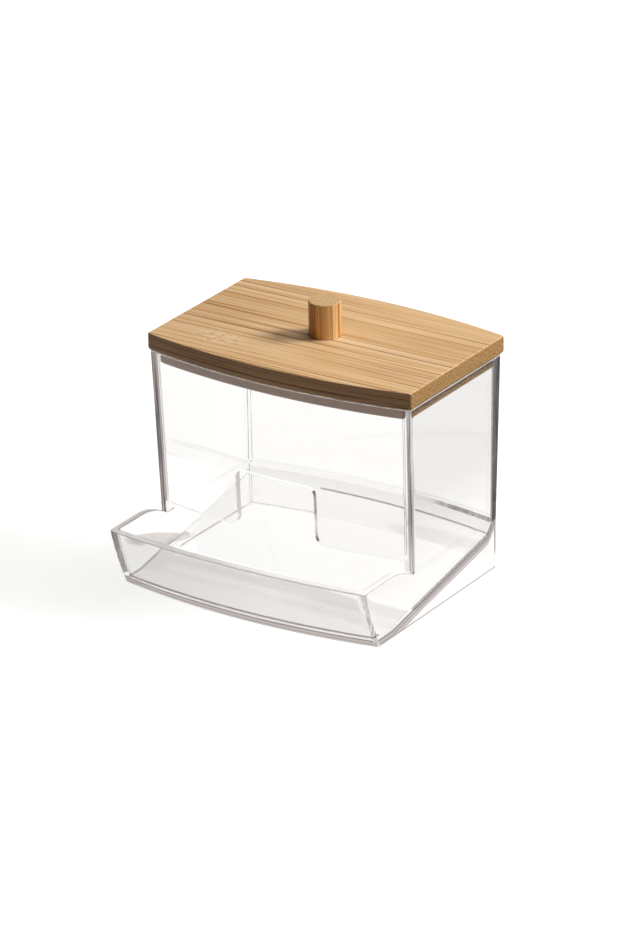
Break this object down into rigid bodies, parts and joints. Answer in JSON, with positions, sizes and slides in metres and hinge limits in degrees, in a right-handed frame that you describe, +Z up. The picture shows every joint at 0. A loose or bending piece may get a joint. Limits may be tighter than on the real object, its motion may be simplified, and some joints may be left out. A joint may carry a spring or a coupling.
{
  "type": "cotton swab holder",
  "caption": "Clear cotton swab holder: a bowed hopper over a tray base with a sloping floor, a finger notch in front, and a bamboo lid with a dowel knob that lifts off.",
  "frame": {"origin": "on the table, under the middle of the overall box", "axes": "+X along the front to the right, +Y from the tray's front towards the rear wall, +Z up"},
  "size_m": [0.087, 0.0796, 0.08],
  "materials": {
    "clear_plastic_base": "clear, polished",
    "clear_plastic_hopper": "clear, polished",
    "bamboo_board": "sanded bamboo, matt oil",
    "bamboo_dowel": "sanded bamboo, matt oil"
  },
  "bodies": {
    "holder": {"tray_base": "clear_plastic_base", "hopper": "clear_plastic_hopper"},
    "lid": {"lid_board": "bamboo_board", "knob": "bamboo_dowel"}
  },
  "joints": [
    {"name": "lid_lift", "type": "slide", "parent": "holder", "child": "lid", "axis": [0, 0, 1], "range_m": [0, 0.03]}
  ]
}
